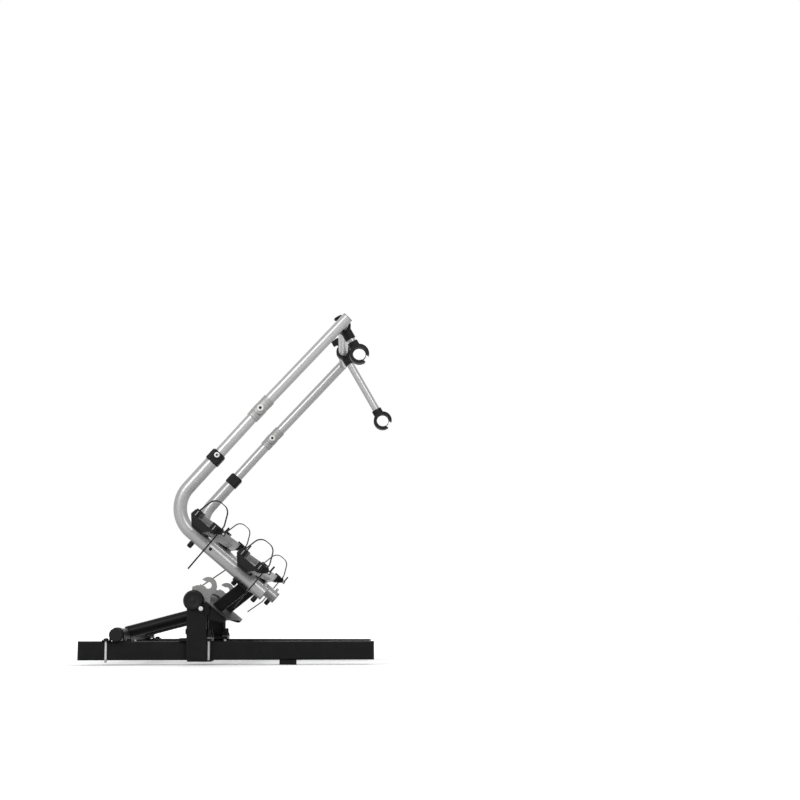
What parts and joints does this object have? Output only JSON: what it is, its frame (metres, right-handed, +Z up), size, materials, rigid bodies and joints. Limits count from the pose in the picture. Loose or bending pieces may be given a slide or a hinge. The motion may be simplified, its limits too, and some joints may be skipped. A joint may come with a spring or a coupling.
{
  "type": "caravan bike rack",
  "caption": "Tilting bicycle rack on a caravan's A-frame drawbar, with wheel rails, strap holders and a folding support hoop.",
  "frame": {"origin": "middle of the cross-member's underside, where the rack stands", "axes": "+X forward to the towing head, +Y to the left along the wheel rails, +Z up"},
  "size_m": [0.8512, 1.21, 0.9708],
  "materials": {
    "black_steel": "satin black powder coat",
    "zinc": "bright zinc plate",
    "rail_aluminium": "dark anodised extrusion",
    "silver_tube": "bright satin tube",
    "cast_metal": "cast, lightly sanded",
    "dull_zinc": "matte zinc plate",
    "black_plastic": "moulded, lightly grained",
    "grey_plastic": "moulded, smooth",
    "strap_plastic": "toothed flexible strip"
  },
  "bodies": {
    "drawbar_frame": {"drawbar_rail_left": "black_steel", "drawbar_rail_right": "black_steel", "frame_end_plugs": "black_plastic", "cross_member": "black_steel", "rear_cross_tube": "black_steel", "rear_tube_saddles": "black_steel", "u_bolts": "zinc", "u_bolt_plates": "zinc", "clamp_plates": "black_steel", "clamp_bolts": "zinc", "clamp_nuts": "zinc", "post_side_bolts": "black_steel", "posts": "black_steel", "pivot_plates": "black_steel", "braces": "black_steel", "hinge_tube": "black_steel", "hinge_tube_caps": "black_plastic", "hinge_washers": "black_plastic"},
    "lock_pin_left": {"lock_pin_left": "zinc"},
    "lock_pin_right": {"lock_pin_right": "zinc"},
    "tilting_platform": {"tilt_brackets": "black_steel", "tilt_plate": "black_steel", "hook_plates": "dull_zinc", "tilt_posts": "black_steel", "tilt_top_plate": "black_steel", "side_tube_left": "silver_tube", "side_tube_right": "silver_tube", "side_tube_plugs": "grey_plastic", "rail_bolts": "zinc", "rail_pads": "black_plastic", "rail_knobs": "black_plastic", "wheel_rail_front": "rail_aluminium", "wheel_rail_rear": "rail_aluminium", "wheel_rail_trims": "black_plastic", "wheel_holders_front": "black_plastic", "wheel_holders_rear": "black_plastic", "wheel_straps_front": "strap_plastic", "wheel_straps_rear": "strap_plastic", "strap_buckles": "black_plastic", "telescope_collars": "black_plastic", "collar_screws": "zinc"},
    "hoop_lower": {"inner_tubes": "silver_tube", "lower_knuckles": "cast_metal", "knuckle_pins": "zinc"},
    "hoop_upper": {"upper_tubes": "silver_tube", "upper_knuckles": "cast_metal", "top_crossbar": "silver_tube", "hoop_top_plugs": "grey_plastic"},
    "short_arm": {"arm_clamp_short": "black_plastic", "arm_tube_short": "silver_tube", "arm_jaw_short": "black_plastic", "arm_knob_short": "black_plastic"},
    "long_arm": {"arm_clamp_long": "black_plastic", "arm_tube_long": "silver_tube", "arm_jaw_long": "black_plastic", "arm_knob_long": "black_plastic"},
    "buckle_lever_rear_left": {"buckle_lever_rear_left": "black_plastic"},
    "buckle_lever_rear_right": {"buckle_lever_rear_right": "black_plastic"},
    "buckle_lever_front_left": {"buckle_lever_front_left": "black_plastic"},
    "buckle_lever_front_right": {"buckle_lever_front_right": "black_plastic"}
  },
  "joints": [
    {"name": "platform_tilt", "type": "hinge", "parent": "drawbar_frame", "child": "tilting_platform", "pos_m": [-0.247, 0, 0.171], "axis": [0, -1, 0], "range_deg": [0, 40.2]},
    {"name": "lock_pin_slide_left", "type": "slide", "parent": "drawbar_frame", "child": "lock_pin_left", "axis": [0, -1, 0], "range_m": [0, 0.0062]},
    {"name": "lock_pin_slide_right", "type": "slide", "parent": "drawbar_frame", "child": "lock_pin_right", "axis": [0, 1, 0], "range_m": [0, 0.0062]},
    {"name": "hoop_telescope", "type": "slide", "parent": "tilting_platform", "child": "hoop_lower", "axis": [0.6665, 0, 0.7455], "range_m": [-0.035, 0.03]},
    {"name": "hoop_fold", "type": "hinge", "parent": "hoop_lower", "child": "hoop_upper", "pos_m": [-0.07179, 0, 0.68588], "axis": [0, 1, 0], "range_deg": [0, 90]},
    {"name": "short_arm_swing", "type": "hinge", "parent": "hoop_upper", "child": "short_arm", "pos_m": [0.14986, -0.33, 0.92357], "axis": [0, 1, 0], "range_deg": [-60, 60]},
    {"name": "long_arm_swing", "type": "hinge", "parent": "hoop_upper", "child": "long_arm", "pos_m": [0.14986, 0.15, 0.92357], "axis": [0, 1, 0], "range_deg": [-60, 60]},
    {"name": "buckle_lever_rear_left_lift", "type": "hinge", "parent": "tilting_platform", "child": "buckle_lever_rear_left", "pos_m": [-0.15756, 0.547, 0.33959], "axis": [0, 1, 0], "range_deg": [0, 60], "stiffness_Nm_per_rad": 0.01, "springref_deg": -17.19},
    {"name": "buckle_lever_rear_right_lift", "type": "hinge", "parent": "tilting_platform", "child": "buckle_lever_rear_right", "pos_m": [-0.15756, -0.547, 0.33959], "axis": [0, 1, 0], "range_deg": [0, 60], "stiffness_Nm_per_rad": 0.01, "springref_deg": -17.19},
    {"name": "buckle_lever_front_left_lift", "type": "hinge", "parent": "tilting_platform", "child": "buckle_lever_front_left", "pos_m": [-0.03917, 0.547, 0.23954], "axis": [0, 1, 0], "range_deg": [0, 60], "stiffness_Nm_per_rad": 0.01, "springref_deg": -17.19},
    {"name": "buckle_lever_front_right_lift", "type": "hinge", "parent": "tilting_platform", "child": "buckle_lever_front_right", "pos_m": [-0.03917, -0.547, 0.23954], "axis": [0, 1, 0], "range_deg": [0, 60], "stiffness_Nm_per_rad": 0.01, "springref_deg": -17.19}
  ]
}
